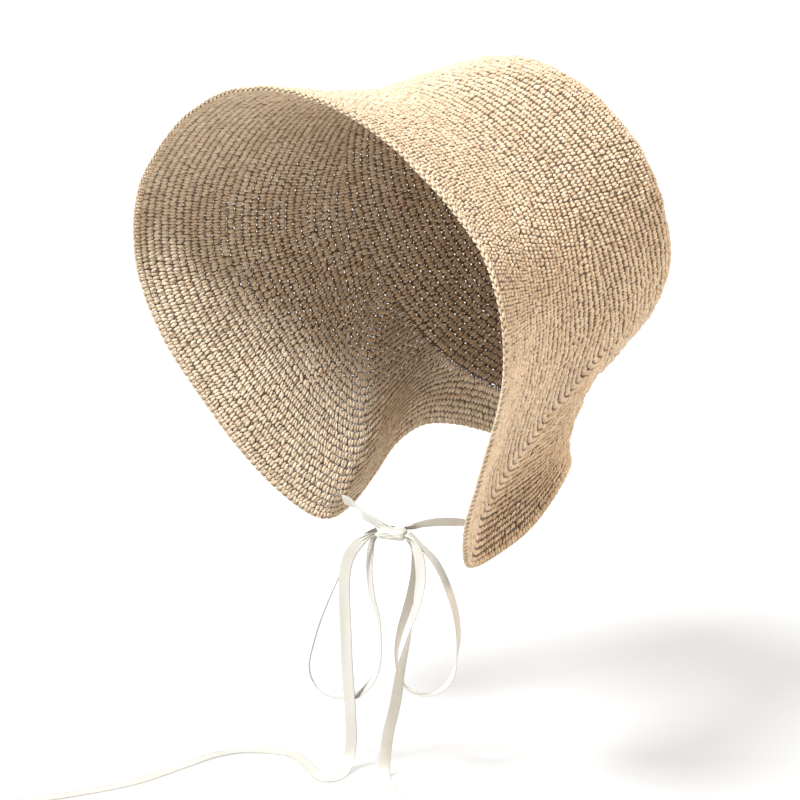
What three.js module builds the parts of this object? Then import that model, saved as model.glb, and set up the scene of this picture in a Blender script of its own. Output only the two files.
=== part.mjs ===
// A bonnet-shaped sun hat crocheted from raffia, in the form it has when it is worn, tied under the
// chin with a narrow satin ribbon. Millimetres, +Z up. The wearer looks along -Y, left and right are
// as seen from the front, and the origin is the middle of the opening for the head.
import * as THREE from "three";

// Straw
const WALL = 2.5; // thickness of the crochet
const GAP = 0.3; // clearance between neighbouring pieces
const BORDER = 4; // width of the last round of stitches, which finishes the edge
const BORDER_SWELL = 0.3; // how far that round stands out past each face of the wall
const CROWN_TILT = THREE.MathUtils.degToRad(21); // the crown points back and this far up
const SQUARENESS = 2.1; // exponent of the rounds' oval, 2 for an ellipse
const CENTRE = new THREE.Vector3(0, -4, -1); // where the crown's axis leaves the opening
const ROLL_WIDTH = 10; // how far inside the edge its roll is highest
const ARRIVAL = 0.8; // how long the brim keeps its slope at the edge, as a share of its width

// Ribbon
const RIBBON = 7; // width of the satin ribbon
const RIBBON_THICKNESS = 1;
const GATHERED = 0.4; // share of its width that the ribbon keeps where the knot pinches it
const GATHER_LENGTH = 14; // how far from the knot it opens to its full width
const BOW = new THREE.Vector3(12, -83, -153.5); // the knot under the chin
const BOW_TURN = THREE.MathUtils.degToRad(25); // the bow faces this far towards the viewer's right
const KNOT = { left: -11, right: 6.5, depth: 10, height: 7.6, middle: -2.2, radius: 3 };

// Mesh
const CROWN_COLUMNS = 64;
const BRIM_COLUMNS = 96;
const CROWN_STEPS = [0, 0.7, 1.4, 2, 2.5, 3, 3.5, 4, 4.5, 5, 5.5, 6, 7];
const BRIM_SHARES = [1, 0.96, 0.91, 0.85, 0.76, 0.64, 0.5, 0.35, 0.2, 0.08, 0];
const DIFFERENCE = 1e-3; // step of the finite differences that give a surface's directions
const ANGLE_DIFFERENCE = 0.1; // the same step round the crown's axis, in degrees

// The crown's rounds of stitches, from the opening for the head to the middle of the tip
const CROWN = [
  { step: 0, along: 0, halfWidth: 101, halfHeight: 107, lift: 4 },
  { step: 1, along: 30, halfWidth: 95.5, halfHeight: 103, lift: 0.5 },
  { step: 2, along: 54, halfWidth: 91, halfHeight: 98.5, lift: -1 },
  { step: 3, along: 68, halfWidth: 88, halfHeight: 94, lift: -1.5 },
  { step: 4, along: 77, halfWidth: 83, halfHeight: 88, lift: -1.5 },
  { step: 5, along: 83, halfWidth: 73, halfHeight: 78, lift: -1.5 },
  { step: 6, along: 85.5, halfWidth: 54, halfHeight: 58, lift: -1.5 },
  { step: 7, along: 87, halfWidth: 27, halfHeight: 29, lift: -1.5 },
  { step: 8, along: 87.5, halfWidth: 0, halfHeight: 0, lift: -1.5 },
];

// The free edge of the brim, by the angle round the crown's axis: 0 over the face, 180 at the nape.
// It rises over the face, falls to a rounded tip beside the jaw, and turns up again to the nape.
const EDGE = [
  { angle: 0, x: 0, y: -158, z: 114.5 },
  { angle: 17, x: 36, y: -157, z: 111 },
  { angle: 34, x: 68, y: -153, z: 100 },
  { angle: 49, x: 98, y: -150, z: 82 },
  { angle: 60, x: 122, y: -146, z: 62 },
  { angle: 70, x: 142, y: -143, z: 38 },
  { angle: 78, x: 151, y: -141, z: 10 },
  { angle: 86, x: 150, y: -138, z: -23 },
  { angle: 94, x: 136, y: -132, z: -58 },
  { angle: 102, x: 116, y: -122, z: -91 },
  { angle: 109, x: 94, y: -109, z: -124 },
  { angle: 115, x: 76, y: -92, z: -151 },
  { angle: 121, x: 64, y: -73, z: -167 },
  { angle: 128, x: 64, y: -50, z: -164 },
  { angle: 136, x: 68, y: -27, z: -153 },
  { angle: 144, x: 69, y: -5, z: -136 },
  { angle: 152, x: 62, y: 13, z: -126 },
  { angle: 161, x: 45, y: 27, z: -125 },
  { angle: 171, x: 23, y: 35, z: -127 },
  { angle: 180, x: 0, y: 38, z: -128 },
];

// How the brim leaves the crown and meets its edge: the lead is how long it keeps the crown's
// direction, the flare its slope at the edge in degrees, the swell how far its middle stands out, and
// the roll how far the strip inside the edge stands out before the edge turns in.
const FLARE = [
  { angle: 0, lead: 1, flare: 28, swell: 0, roll: 0 },
  { angle: 40, lead: 1, flare: 33, swell: 0, roll: 0 },
  { angle: 80, lead: 0.9, flare: 38, swell: 0, roll: 0 },
  { angle: 100, lead: 0.8, flare: 34, swell: 0, roll: 2 },
  { angle: 115, lead: 0.7, flare: 40, swell: 0, roll: 3.5 },
  { angle: 125, lead: 0.6, flare: 56, swell: 1, roll: 2 },
  { angle: 140, lead: 0.4, flare: 70, swell: 4, roll: 0 },
  { angle: 160, lead: 0.3, flare: 90, swell: 3, roll: 0 },
  { angle: 180, lead: 0.3, flare: 100, swell: 2, roll: 0 },
];

// The ribbon's routes, in the bow's own directions from the knot: across to the right, out to the
// front, and up. The ribbon's width lies along the compass direction of its face, counted from across
// to out, and is turned from there about the route. Both are in degrees, and the usual face is 90.
const TIE_LEFT = [
  { across: -3, out: -6, up: -1, turn: 90 },
  { across: -4.8, out: -6.1, up: -1.4, turn: 88 },
  { across: -6.6, out: -6.2, up: -1.6, turn: 85 },
  { across: -8.8, out: -6.6, up: -1.5, turn: 82 },
  { across: -11, out: -7.3, up: -1.2, turn: 78 },
  { across: -13.4, out: -8.4, up: -0.8, turn: 75 },
  { across: -15.8, out: -9.8, up: -0.4, turn: 72 },
  { across: -18.8, out: -11.6, up: -0.1, turn: 70 },
  { across: -21.8, out: -13.6, up: 0, turn: 68 },
  { across: -27.7, out: -18.9, up: 0, turn: 68 },
  { across: -33, out: -25.5, up: 0.2, turn: 70 },
  { across: -38, out: -33, up: 0, turn: 74 },
  { across: -43, out: -40.5, up: -1, turn: 78 },
  { across: -48, out: -46, up: -2.2, turn: 80 },
  { across: -52, out: -49, up: -3, turn: 80 },
];
const TIE_RIGHT = [
  { across: 3, out: -6, up: -0.5, turn: -90 },
  { across: 5.7, out: -6.3, up: 0.2, turn: -76 },
  { across: 8.6, out: -6.2, up: 1, turn: -60 },
  { across: 10.9, out: -5.5, up: 2.1, turn: -51 },
  { across: 13.3, out: -4.6, up: 3.4, turn: -45 },
  { across: 16.5, out: -3.6, up: 4.7, turn: -48 },
  { across: 19.9, out: -3, up: 5.8, turn: -52 },
  { across: 23, out: -2.9, up: 6.6, turn: -55 },
  { across: 26.1, out: -3.2, up: 7.1, turn: -58 },
  { across: 30.2, out: -4.4, up: 7.2, turn: -60 },
  { across: 34.3, out: -6, up: 7, turn: -61 },
  { across: 37.7, out: -7.6, up: 6.6, turn: -58 },
  { across: 41, out: -9, up: 6, turn: -54 },
  { across: 46, out: -9.5, up: 4, turn: -60 },
  { across: 49.2, out: -7.9, up: 1.5, turn: -70 },
];
const LOOP_LEFT = [
  { across: -12, out: 0, up: -0.9, turn: 80 },
  { across: -15.5, out: 0, up: -3, turn: 60 },
  { across: -21, out: 0, up: -8.5, turn: 37 },
  { across: -27.5, out: 0, up: -16, turn: 20 },
  { across: -31.5, out: 0, up: -24, turn: 4 },
  { across: -35, out: 0, up: -32, turn: -6 },
  { across: -41.5, out: 0, up: -47, turn: -8 },
  { across: -48, out: 0, up: -64, turn: -10 },
  { across: -52.5, out: 0, up: -79, turn: -13 },
  { across: -55, out: 0, up: -90, turn: -16 },
  { across: -54.5, out: 0, up: -98, turn: -21 },
  { across: -52, out: 0, up: -103.5, turn: -25 },
  { across: -48, out: 0, up: -108, turn: -25 },
  { across: -41.5, out: 0, up: -110.5, turn: -18 },
  { across: -32.5, out: 0, up: -110, turn: 0 },
  { across: -24.5, out: 0, up: -107, turn: 20 },
  { across: -19.3, out: 0, up: -102, turn: 29 },
  { across: -14, out: 0, up: -94.5, turn: 31 },
  { across: -11, out: 0, up: -86, turn: 29 },
  { across: -10, out: 0, up: -76.5, turn: 28 },
  { across: -10.3, out: 0, up: -67, turn: 32 },
  { across: -12, out: 0, up: -55, turn: 44 },
  { across: -15, out: 0, up: -44, turn: 50 },
  { across: -16.4, out: 0, up: -33, turn: 49 },
  { across: -16.7, out: 0, up: -24, turn: 49 },
  { across: -16, out: 0, up: -16.5, turn: 52 },
  { across: -14.6, out: 0, up: -9.2, turn: 62 },
  { across: -12.5, out: 0, up: -5, turn: 80 },
];
const LOOP_RIGHT = [
  { across: 7.3, out: 0, up: -0.8, turn: 30 },
  { across: 10.5, out: 0, up: -3.6, turn: 10 },
  { across: 14.5, out: 0, up: -7, turn: -2 },
  { across: 19.5, out: 0, up: -11, turn: 0 },
  { across: 24.8, out: 0, up: -16.8, turn: 7 },
  { across: 29.8, out: 0, up: -25.5, turn: 9 },
  { across: 34.1, out: 0, up: -36, turn: 10 },
  { across: 37.2, out: 0, up: -46.5, turn: 7 },
  { across: 38.8, out: 0, up: -57, turn: 3 },
  { across: 39, out: 0, up: -66.5, turn: -4 },
  { across: 38.2, out: 0, up: -74.5, turn: -14 },
  { across: 36.9, out: 0, up: -81.5, turn: -28 },
  { across: 34.4, out: 0, up: -88.5, turn: -33 },
  { across: 30.1, out: 0, up: -94.5, turn: -22 },
  { across: 24.5, out: 0, up: -98.8, turn: -7 },
  { across: 17, out: 0, up: -101.2, turn: 8 },
  { across: 9.6, out: 0, up: -100, turn: 18 },
  { across: 4.3, out: 0, up: -96.4, turn: 18 },
  { across: 1.2, out: 0, up: -90.5, turn: 14 },
  { across: 0, out: 0, up: -82.5, turn: 10 },
  { across: 0, out: 0, up: -76.3, turn: 3 },
  { across: 0.9, out: 0, up: -69.8, turn: -8 },
  { across: 2.5, out: 0, up: -62.7, turn: -17 },
  { across: 4.4, out: 0, up: -56, turn: -25 },
  { across: 6.5, out: 0, up: -49.5, turn: -30 },
  { across: 9, out: 0, up: -40, turn: -31 },
  { across: 11, out: 0, up: -29.5, turn: -26 },
  { across: 12, out: 0, up: -19.5, turn: -22 },
  { across: 11.4, out: 0, up: -12, turn: -18 },
  { across: 9.5, out: 0, up: -7.6, turn: -14 },
  { across: 7.2, out: 0, up: -4.8, turn: -10 },
];
const FLOOR = -151.9; // the ribbon's middle where its tails lie on the table
const TAIL_LEFT = [
  { across: -12.1, out: 3.4, up: -2.6, face: 0 },
  { across: -17.5, out: 5, up: -5.4, face: -4 },
  { across: -24, out: 6, up: -12, face: -2 },
  { across: -28.4, out: 6, up: -21.3, face: -2 },
  { across: -30.1, out: 6, up: -32.7, face: -2 },
  { across: -30.1, out: 6, up: -45.3, face: -2 },
  { across: -29.6, out: 6, up: -58, face: -2 },
  { across: -29.1, out: 6, up: -70.5, face: -2 },
  { across: -28.8, out: 6, up: -83, face: -2 },
  { across: -28.1, out: 6, up: -96, face: -2 },
  { across: -27.2, out: 6, up: -108.5, face: -2 },
  { across: -26.6, out: 6, up: -121, face: -2 },
  { across: -26.4, out: 6, up: -134, face: -2 },
  { across: -27.2, out: 7, up: -144, face: -2 },
  { across: -27.6, out: 11.5, up: -150, face: 0 },
  { across: -28.3, out: 19.5, up: FLOOR, face: 8 },
  { across: -31.5, out: 26.5, up: FLOOR, face: 40 },
  { across: -38, out: 26.5, up: FLOOR, face: 95 },
  { across: -48.3, out: 16.3, up: FLOOR, face: 133 },
  { across: -59, out: 5.5, up: FLOOR, face: 125 },
  { across: -69, out: -0.5, up: FLOOR, face: 105 },
  { across: -78.5, out: -0.5, up: FLOOR, face: 90 },
  { across: -88, out: 1.5, up: FLOOR, face: 77 },
  { across: -99, out: 6, up: FLOOR, face: 60 },
  { across: -111.3, out: 18, up: FLOOR, face: 37 },
  { across: -120.6, out: 35, up: FLOOR, face: 23 },
  { across: -140, out: 69.5, up: FLOOR, face: 30 },
  { across: -171, out: 102, up: FLOOR, face: 45 },
  { across: -195.3, out: 121.2, up: FLOOR, face: 52 },
];
const TAIL_RIGHT = [
  { across: 7.2, out: 3.5, up: -1.6, face: 30 },
  { across: 10.5, out: 4.4, up: -3, face: 24 },
  { across: 14.2, out: 5.4, up: -7.1, face: 16 },
  { across: 16.8, out: 6, up: -14.5, face: 10 },
  { across: 17.6, out: 6, up: -26.5, face: 16 },
  { across: 16.4, out: 6, up: -35.6, face: 26 },
  { across: 14.9, out: 6, up: -44.5, face: 42 },
  { across: 13.4, out: 6, up: -51, face: 57 },
  { across: 11.8, out: 6, up: -57.4, face: 78 },
  { across: 10.2, out: 6.6, up: -65, face: 94 },
  { across: 8.1, out: 7.2, up: -73.7, face: 106 },
  { across: 6.7, out: 7.8, up: -79.6, face: 116 },
  { across: 5.5, out: 8.4, up: -86, face: 122 },
  { across: 4.6, out: 8.8, up: -93.2, face: 128 },
  { across: 3.2, out: 9, up: -103, face: 140 },
  { across: 1.1, out: 9, up: -113, face: 148 },
  { across: -1.5, out: 9, up: -124, face: 152 },
  { across: -3.3, out: 9, up: -137, face: 152 },
  { across: -3.8, out: 10, up: -146.5, face: 152 },
  { across: -2.8, out: 13, up: -150.4, face: 150 },
  { across: 2, out: 20, up: FLOOR, face: 148 },
  { across: 8, out: 28.5, up: FLOOR, face: 145 },
  { across: 15.8, out: 40, up: FLOOR, face: 146 },
  { across: 20.8, out: 47, up: FLOOR, face: 145 },
];

// The columns of a table at a place between two of its rows, with the slopes of the neighbouring rows
function smooth(rows, key, at) {
  const last = rows.length - 2;
  let i = rows.findIndex((row, n) => n < last && at < rows[n + 1][key]);
  if (i < 0) i = last;
  const length = rows[i + 1][key] - rows[i][key];
  const t = THREE.MathUtils.clamp((at - rows[i][key]) / length, 0, 1);
  const slope = (n, column) => {
    const before = rows[Math.max(n - 1, 0)];
    const after = rows[Math.min(n + 1, rows.length - 1)];
    return (after[column] - before[column]) / (after[key] - before[key]);
  };
  const found = {};
  for (const column of Object.keys(rows[0])) {
    found[column] =
      (2 * t ** 3 - 3 * t ** 2 + 1) * rows[i][column] +
      (t ** 3 - 2 * t ** 2 + t) * length * slope(i, column) +
      (3 * t ** 2 - 2 * t ** 3) * rows[i + 1][column] +
      (t ** 3 - t ** 2) * length * slope(i + 1, column);
  }
  return found;
}

// Directions of the crown: along its axis to the tip, up across it, and to the right
const ALONG = new THREE.Vector3(0, Math.cos(CROWN_TILT), Math.sin(CROWN_TILT));
const UP = new THREE.Vector3(0, -Math.sin(CROWN_TILT), Math.cos(CROWN_TILT));
const RIGHT = new THREE.Vector3(1, 0, 0);

// The rows past each end repeat the table as its mirror image, so that the surface crosses smoothly
const overTip = { ...CROWN.at(-2), step: 9 };
overTip.halfWidth *= -1;
overTip.halfHeight *= -1;
const CROWN_ROWS = [...CROWN, overTip];
const overFace = { ...EDGE[1], angle: -EDGE[1].angle, x: -EDGE[1].x };
const overNape = { ...EDGE.at(-2), angle: 360 - EDGE.at(-2).angle, x: -EDGE.at(-2).x };
const EDGE_ROWS = [overFace, ...EDGE, overNape];

// A point of the crown's outer face, by the angle round its axis and the step up it
function crownPoint(angle, step) {
  const round = smooth(CROWN_ROWS, "step", step);
  const a = THREE.MathUtils.degToRad(angle);
  const power = (value) => Math.abs(value) ** SQUARENESS;
  const oval = (power(Math.sin(a)) + power(Math.cos(a))) ** (-1 / SQUARENESS);
  return CENTRE.clone()
    .addScaledVector(RIGHT, round.halfWidth * Math.sin(a) * oval)
    .addScaledVector(UP, round.halfHeight * Math.cos(a) * oval + round.lift)
    .addScaledVector(ALONG, round.along);
}

// The angle as the tables list it, from the face to the nape, and which side of the hat it is on
function fold(angle) {
  const turned = ((angle % 360) + 360) % 360;
  return turned > 180 ? { angle: 360 - turned, side: -1 } : { angle: turned, side: 1 };
}

// The brim's outer face before its swell and roll: a cubic from the opening to the edge
function plainBrim(angle, share) {
  const folded = fold(angle);
  const edge = smooth(EDGE_ROWS, "angle", folded.angle);
  const shape = smooth(FLARE, "angle", folded.angle);
  const start = crownPoint(angle, 0);
  const end = new THREE.Vector3(folded.side * edge.x, edge.y, edge.z);
  const width = start.distanceTo(end);
  const a = THREE.MathUtils.degToRad(angle);
  const flare = THREE.MathUtils.degToRad(shape.flare);
  const outward = UP.clone().multiplyScalar(Math.cos(a)).addScaledVector(RIGHT, Math.sin(a));
  const leave = start.clone().sub(crownPoint(angle, DIFFERENCE)).setLength(width * shape.lead);
  const arrive = outward.multiplyScalar(Math.sin(flare)).addScaledVector(ALONG, -Math.cos(flare));
  const v = share;
  return start
    .multiplyScalar(2 * v ** 3 - 3 * v ** 2 + 1)
    .addScaledVector(leave, v ** 3 - 2 * v ** 2 + v)
    .addScaledVector(end, 3 * v ** 2 - 2 * v ** 3)
    .addScaledVector(arrive, (v ** 3 - v ** 2) * width * ARRIVAL);
}

// The outward normal of a surface of angle and distance, which runs from the edge to the tip
function normal(surface, angle, at, direction) {
  const round = surface(angle + ANGLE_DIFFERENCE, at).sub(surface(angle - ANGLE_DIFFERENCE, at));
  const low = Math.max(at - DIFFERENCE, 0);
  const climb = surface(angle, low + 2 * DIFFERENCE).sub(surface(angle, low));
  return round.cross(climb).multiplyScalar(direction).normalize();
}
const crownNormal = (angle, step) => normal(crownPoint, angle, step, 1);

// A point of the brim's outer face, by the angle and the share of the way from opening to edge
function brimPoint(angle, share) {
  const shape = smooth(FLARE, "angle", fold(angle).angle);
  const point = plainBrim(angle, share);
  const inside = point.distanceTo(plainBrim(angle, 1)) / ROLL_WIDTH;
  const rise = 4 * share * (1 - share) * shape.swell + inside * Math.exp(1 - inside) * shape.roll;
  return point.addScaledVector(normal(plainBrim, angle, share, -1), rise);
}

// The brim shares the crown's normal where they meet, so that their walls end face to face
function brimNormal(angle, share) {
  return share < 2 * DIFFERENCE ? crownNormal(angle, 0) : normal(brimPoint, angle, share, -1);
}

// A closed mesh of quads and triangles from lists of points
function solid(points, faces) {
  const geometry = new THREE.BufferGeometry();
  const numbers = points.flatMap((p) => p.toArray());
  const triangles = faces.flatMap(([a, b, c, d]) => (d === undefined ? [a, b, c] : [a, b, c, a, c, d]));
  geometry.setAttribute("position", new THREE.Float32BufferAttribute(numbers, 3));
  geometry.setIndex(triangles);
  geometry.computeVertexNormals();
  return geometry;
}

// A wall between rings of outer and inner points. It is open at its first ring, and at its last one
// too, unless a pair of tip points closes it.
function shell(rings, tip) {
  const columns = rings[0].outer.length;
  const points = rings.flatMap((ring) => [...ring.outer, ...ring.inner]);
  const at = (ring, layer, column) => (2 * ring + layer) * columns + (column % columns);
  const faces = [];
  const last = rings.length - 1;
  for (let c = 0; c < columns; c++) {
    for (let r = 0; r < last; r++) {
      faces.push([at(r, 0, c), at(r, 0, c + 1), at(r + 1, 0, c + 1), at(r + 1, 0, c)]);
      faces.push([at(r, 1, c), at(r + 1, 1, c), at(r + 1, 1, c + 1), at(r, 1, c + 1)]);
    }
    faces.push([at(0, 1, c), at(0, 1, c + 1), at(0, 0, c + 1), at(0, 0, c)]);
    if (tip) {
      faces.push([at(last, 0, c), at(last, 0, c + 1), points.length]);
      faces.push([at(last, 1, c + 1), at(last, 1, c), points.length + 1]);
    } else {
      faces.push([at(last, 0, c), at(last, 0, c + 1), at(last, 1, c + 1), at(last, 1, c)]);
    }
  }
  if (tip) points.push(tip.outer, tip.inner);
  return solid(points, faces);
}

// The outer and inner points of one ring of a wall
function wallRing(columns, outerAt, normalAt) {
  const angles = Array.from({ length: columns }, (_, n) => (360 * n) / columns);
  const outer = angles.map(outerAt);
  const inner = outer.map((p, n) => p.clone().addScaledVector(normalAt(angles[n]), -WALL));
  return { outer, inner };
}

function crown() {
  const firstStep = GAP / 2 / CROWN[1].along;
  const rings = CROWN_STEPS.map((step) =>
    wallRing(
      CROWN_COLUMNS,
      (angle) => crownPoint(angle, Math.max(step, firstStep)),
      (angle) => crownNormal(angle, step),
    ),
  );
  const middle = crownPoint(0, CROWN.at(-1).step);
  return shell(rings, { outer: middle, inner: middle.clone().addScaledVector(ALONG, -WALL) });
}

// How fast the brim runs at its edge, in millimetres for the whole share from opening to edge
function brimSpeed(angle) {
  return brimPoint(angle, 1).distanceTo(brimPoint(angle, 1 - DIFFERENCE)) / DIFFERENCE;
}

function brim() {
  const width = (angle) => brimPoint(angle, 0).distanceTo(brimPoint(angle, 1));
  const shareAt = (angle, share) => {
    const first = GAP / 2 / width(angle);
    const last = 1 - (BORDER + GAP) / brimSpeed(angle);
    return first + (last - first) * share;
  };
  const rings = BRIM_SHARES.map((share) =>
    wallRing(
      BRIM_COLUMNS,
      (angle) => brimPoint(angle, shareAt(angle, share)),
      (angle) => (share === 0 ? crownNormal(angle, 0) : brimNormal(angle, shareAt(angle, share))),
    ),
  );
  return shell(rings);
}

// The last round of stitches: a thick cord of straw along the edge, six-sided in section
function brimEdge() {
  const half = BORDER / 2;
  const thick = WALL / 2 + BORDER_SWELL;
  const section = [
    [half, thick / 2],
    [0, thick],
    [-half, thick / 2],
    [-half, -thick / 2],
    [0, -thick],
    [half, -thick / 2],
  ];
  const points = [];
  for (let n = 0; n < BRIM_COLUMNS; n++) {
    const angle = (360 * n) / BRIM_COLUMNS;
    const edge = brimPoint(angle, 1);
    const outward = edge.clone().sub(brimPoint(angle, 1 - DIFFERENCE)).normalize();
    const face = brimNormal(angle, 1);
    const middle = edge.addScaledVector(outward, -half).addScaledVector(face, -WALL / 2);
    for (const [out, up] of section) {
      points.push(middle.clone().addScaledVector(outward, out).addScaledVector(face, up));
    }
  }
  const faces = [];
  const sides = section.length;
  const at = (n, side) => (n % BRIM_COLUMNS) * sides + (side % sides);
  for (let n = 0; n < BRIM_COLUMNS; n++) {
    for (let side = 0; side < sides; side++) {
      faces.push([at(n, side), at(n + 1, side), at(n + 1, side + 1), at(n, side + 1)]);
    }
  }
  return solid(points, faces);
}

// A flat ribbon along a route, two stations to a row. The ends that the knot holds are gathered.
function ribbon(route, heldAtStart, heldAtEnd) {
  const path = new THREE.CatmullRomCurve3(route.map((r) => new THREE.Vector3(r.across, -r.out, r.up)));
  const angles = route.map((r) => new THREE.Vector3(r.face ?? 90, r.turn ?? 0, 0));
  const turns = new THREE.CatmullRomCurve3(angles.map((a) => a.multiplyScalar(THREE.MathUtils.DEG2RAD)));
  const stations = 2 * (route.length - 1);
  const centres = Array.from({ length: stations + 1 }, (_, n) => path.getPoint(n / stations));
  const run = [0];
  for (let n = 1; n <= stations; n++) run.push(run[n - 1] + centres[n].distanceTo(centres[n - 1]));
  const points = [];
  centres.forEach((centre, n) => {
    const ahead = path.getTangent(n / stations);
    const { x: face, y: turn } = turns.getPoint(n / stations);
    const level = new THREE.Vector3(Math.cos(face), -Math.sin(face), 0);
    const square = level.addScaledVector(ahead, -level.dot(ahead)).normalize();
    const wide = square.applyAxisAngle(ahead, turn);
    const thick = ahead.clone().cross(wide);
    const fromKnot = Math.min(heldAtStart ? run[n] : Infinity, heldAtEnd ? run.at(-1) - run[n] : Infinity);
    const open = GATHERED + (1 - GATHERED) * THREE.MathUtils.smoothstep(fromKnot, 0, GATHER_LENGTH);
    const w = (RIBBON / 2) * open;
    const t = RIBBON_THICKNESS / 2;
    for (const [a, b] of [[w, t], [-w, t], [-w, -t], [w, -t]]) {
      points.push(centre.clone().addScaledVector(wide, a).addScaledVector(thick, b));
    }
  });
  const faces = [[0, 3, 2, 1]];
  for (let n = 0; n < stations; n++) {
    for (let side = 0; side < 4; side++) {
      const next = (side + 1) % 4;
      faces.push([4 * n + side, 4 * n + next, 4 * n + 4 + next, 4 * n + 4 + side]);
    }
  }
  const end = 4 * stations;
  faces.push([end, end + 1, end + 2, end + 3]);
  return solid(points, faces);
}

// The wrapped middle of the bow: a rounded bar across it
function knot() {
  const { depth, height, radius, left, right } = KNOT;
  const shape = new THREE.Shape();
  const x = depth / 2 - radius;
  const y = height / 2 - radius;
  shape.absarc(x, y, radius, 0, Math.PI / 2);
  shape.absarc(-x, y, radius, Math.PI / 2, Math.PI);
  shape.absarc(-x, -y, radius, Math.PI, 1.5 * Math.PI);
  shape.absarc(x, -y, radius, 1.5 * Math.PI, 2 * Math.PI);
  shape.closePath();
  const options = { depth: right - left, bevelEnabled: false, curveSegments: 3 };
  const bar = new THREE.ExtrudeGeometry(shape, options);
  return bar.rotateX(Math.PI / 2).rotateZ(Math.PI / 2).translate(left, 0, KNOT.middle);
}

const raffia = new THREE.MeshStandardMaterial({ color: 0xcfab7e, roughness: 0.8, metalness: 0 });
const raffiaEdge = new THREE.MeshStandardMaterial({ color: 0xdcbf95, roughness: 0.75, metalness: 0 });
const satin = new THREE.MeshStandardMaterial({ color: 0xe3dccf, roughness: 0.35, metalness: 0 });

function named(name, geometry, material) {
  const mesh = new THREE.Mesh(geometry, material);
  mesh.name = name;
  return mesh;
}

const bow = new THREE.Group();
bow.position.copy(BOW);
bow.rotation.z = BOW_TURN;
bow.add(
  named("bow_knot", knot(), satin),
  named("tie_left", ribbon(TIE_LEFT, true, false), satin),
  named("tie_right", ribbon(TIE_RIGHT, true, false), satin),
  named("bow_loop_left", ribbon(LOOP_LEFT, true, true), satin),
  named("bow_loop_right", ribbon(LOOP_RIGHT, true, true), satin),
  named("tail_left", ribbon(TAIL_LEFT, true, false), satin),
  named("tail_right", ribbon(TAIL_RIGHT, true, false), satin),
);

const hat = new THREE.Group();
hat.add(
  named("crown", crown(), raffia),
  named("brim", brim(), raffia),
  named("brim_edge", brimEdge(), raffiaEdge),
  bow,
);

export default hat;
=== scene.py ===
# %% [markdown]
# # Sun hat
# A bonnet-shaped hat crocheted from raffia, tied under the chin with a satin ribbon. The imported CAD
# model gives the frame. Its walls are redrawn here stitch by stitch, from the same tables of named
# sizes, and its ribbons become thin satin along the same routes. Sizes are millimetres until a
# mesh is made. +Z is up, the wearer looks along -Y, and the origin is the middle of the opening.

# %% Set-up
import math

import bpy
import numpy as np
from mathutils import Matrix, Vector


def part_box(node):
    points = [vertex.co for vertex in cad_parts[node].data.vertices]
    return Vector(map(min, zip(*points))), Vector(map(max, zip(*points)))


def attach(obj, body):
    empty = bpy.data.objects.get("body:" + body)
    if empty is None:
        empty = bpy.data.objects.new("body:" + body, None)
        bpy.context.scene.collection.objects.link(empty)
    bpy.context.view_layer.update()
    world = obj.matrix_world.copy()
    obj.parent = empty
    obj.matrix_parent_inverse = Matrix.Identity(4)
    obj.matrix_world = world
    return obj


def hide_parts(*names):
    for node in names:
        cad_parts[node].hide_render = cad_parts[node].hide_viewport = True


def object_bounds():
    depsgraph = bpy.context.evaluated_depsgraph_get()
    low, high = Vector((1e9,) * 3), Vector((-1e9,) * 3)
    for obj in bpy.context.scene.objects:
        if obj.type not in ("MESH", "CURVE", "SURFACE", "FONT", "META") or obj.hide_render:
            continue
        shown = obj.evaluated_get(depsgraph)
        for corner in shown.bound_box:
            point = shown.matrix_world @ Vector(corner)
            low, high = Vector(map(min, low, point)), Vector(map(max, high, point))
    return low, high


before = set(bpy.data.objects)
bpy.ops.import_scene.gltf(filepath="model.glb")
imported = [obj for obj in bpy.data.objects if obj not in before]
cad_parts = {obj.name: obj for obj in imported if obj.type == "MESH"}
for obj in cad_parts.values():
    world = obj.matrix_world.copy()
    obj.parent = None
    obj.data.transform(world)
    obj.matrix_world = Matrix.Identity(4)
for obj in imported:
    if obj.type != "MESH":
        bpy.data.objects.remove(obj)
cad_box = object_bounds()
METRES = 0.001
SEED = 7
rng = np.random.default_rng(SEED)
print("CAD box in metres", cad_box)

# %% [markdown]
# ## Camera and stage
# The camera stands 45 degrees round from the front and looks down a little, as in the photograph. A
# long lens from about 1.7 metres keeps the hat's proportions true. The table is the plane that the
# ribbon's tails lie on, and it runs far back, so it fills the view and no wall is needed.

# %% Camera and stage
PHOTO_SIDE = 800
CAMERA_AT = Vector((1.1062, -1.1739, 0.3833))
CAMERA_TURN = (math.radians(73.5), 0, math.radians(45))
FOCAL_PIXELS = 2800
SENSOR = 36
TABLE_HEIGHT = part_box("tail_left")[0][2]
TABLE_REACH = 14

camera_data = bpy.data.cameras.new("camera")
camera_data.sensor_width = SENSOR
camera_data.lens = FOCAL_PIXELS * SENSOR / PHOTO_SIDE
camera_data.clip_end = 100
camera = bpy.data.objects.new("camera", camera_data)
camera.location = CAMERA_AT
camera.rotation_euler = CAMERA_TURN
bpy.context.collection.objects.link(camera)
bpy.context.scene.camera = camera
print("camera", round(CAMERA_AT.length, 3), "m from the hat, table at", round(TABLE_HEIGHT, 4), "m")

# %% [markdown]
# ## Meshes and materials
# Every shape here is an array of points worked out by a formula, so one helper turns such arrays into
# a mesh object, with UVs and named attributes for the materials. Shader nodes could be placed one by
# one, but a formula is easier to read, so a small class lets sockets be added and multiplied.


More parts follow.
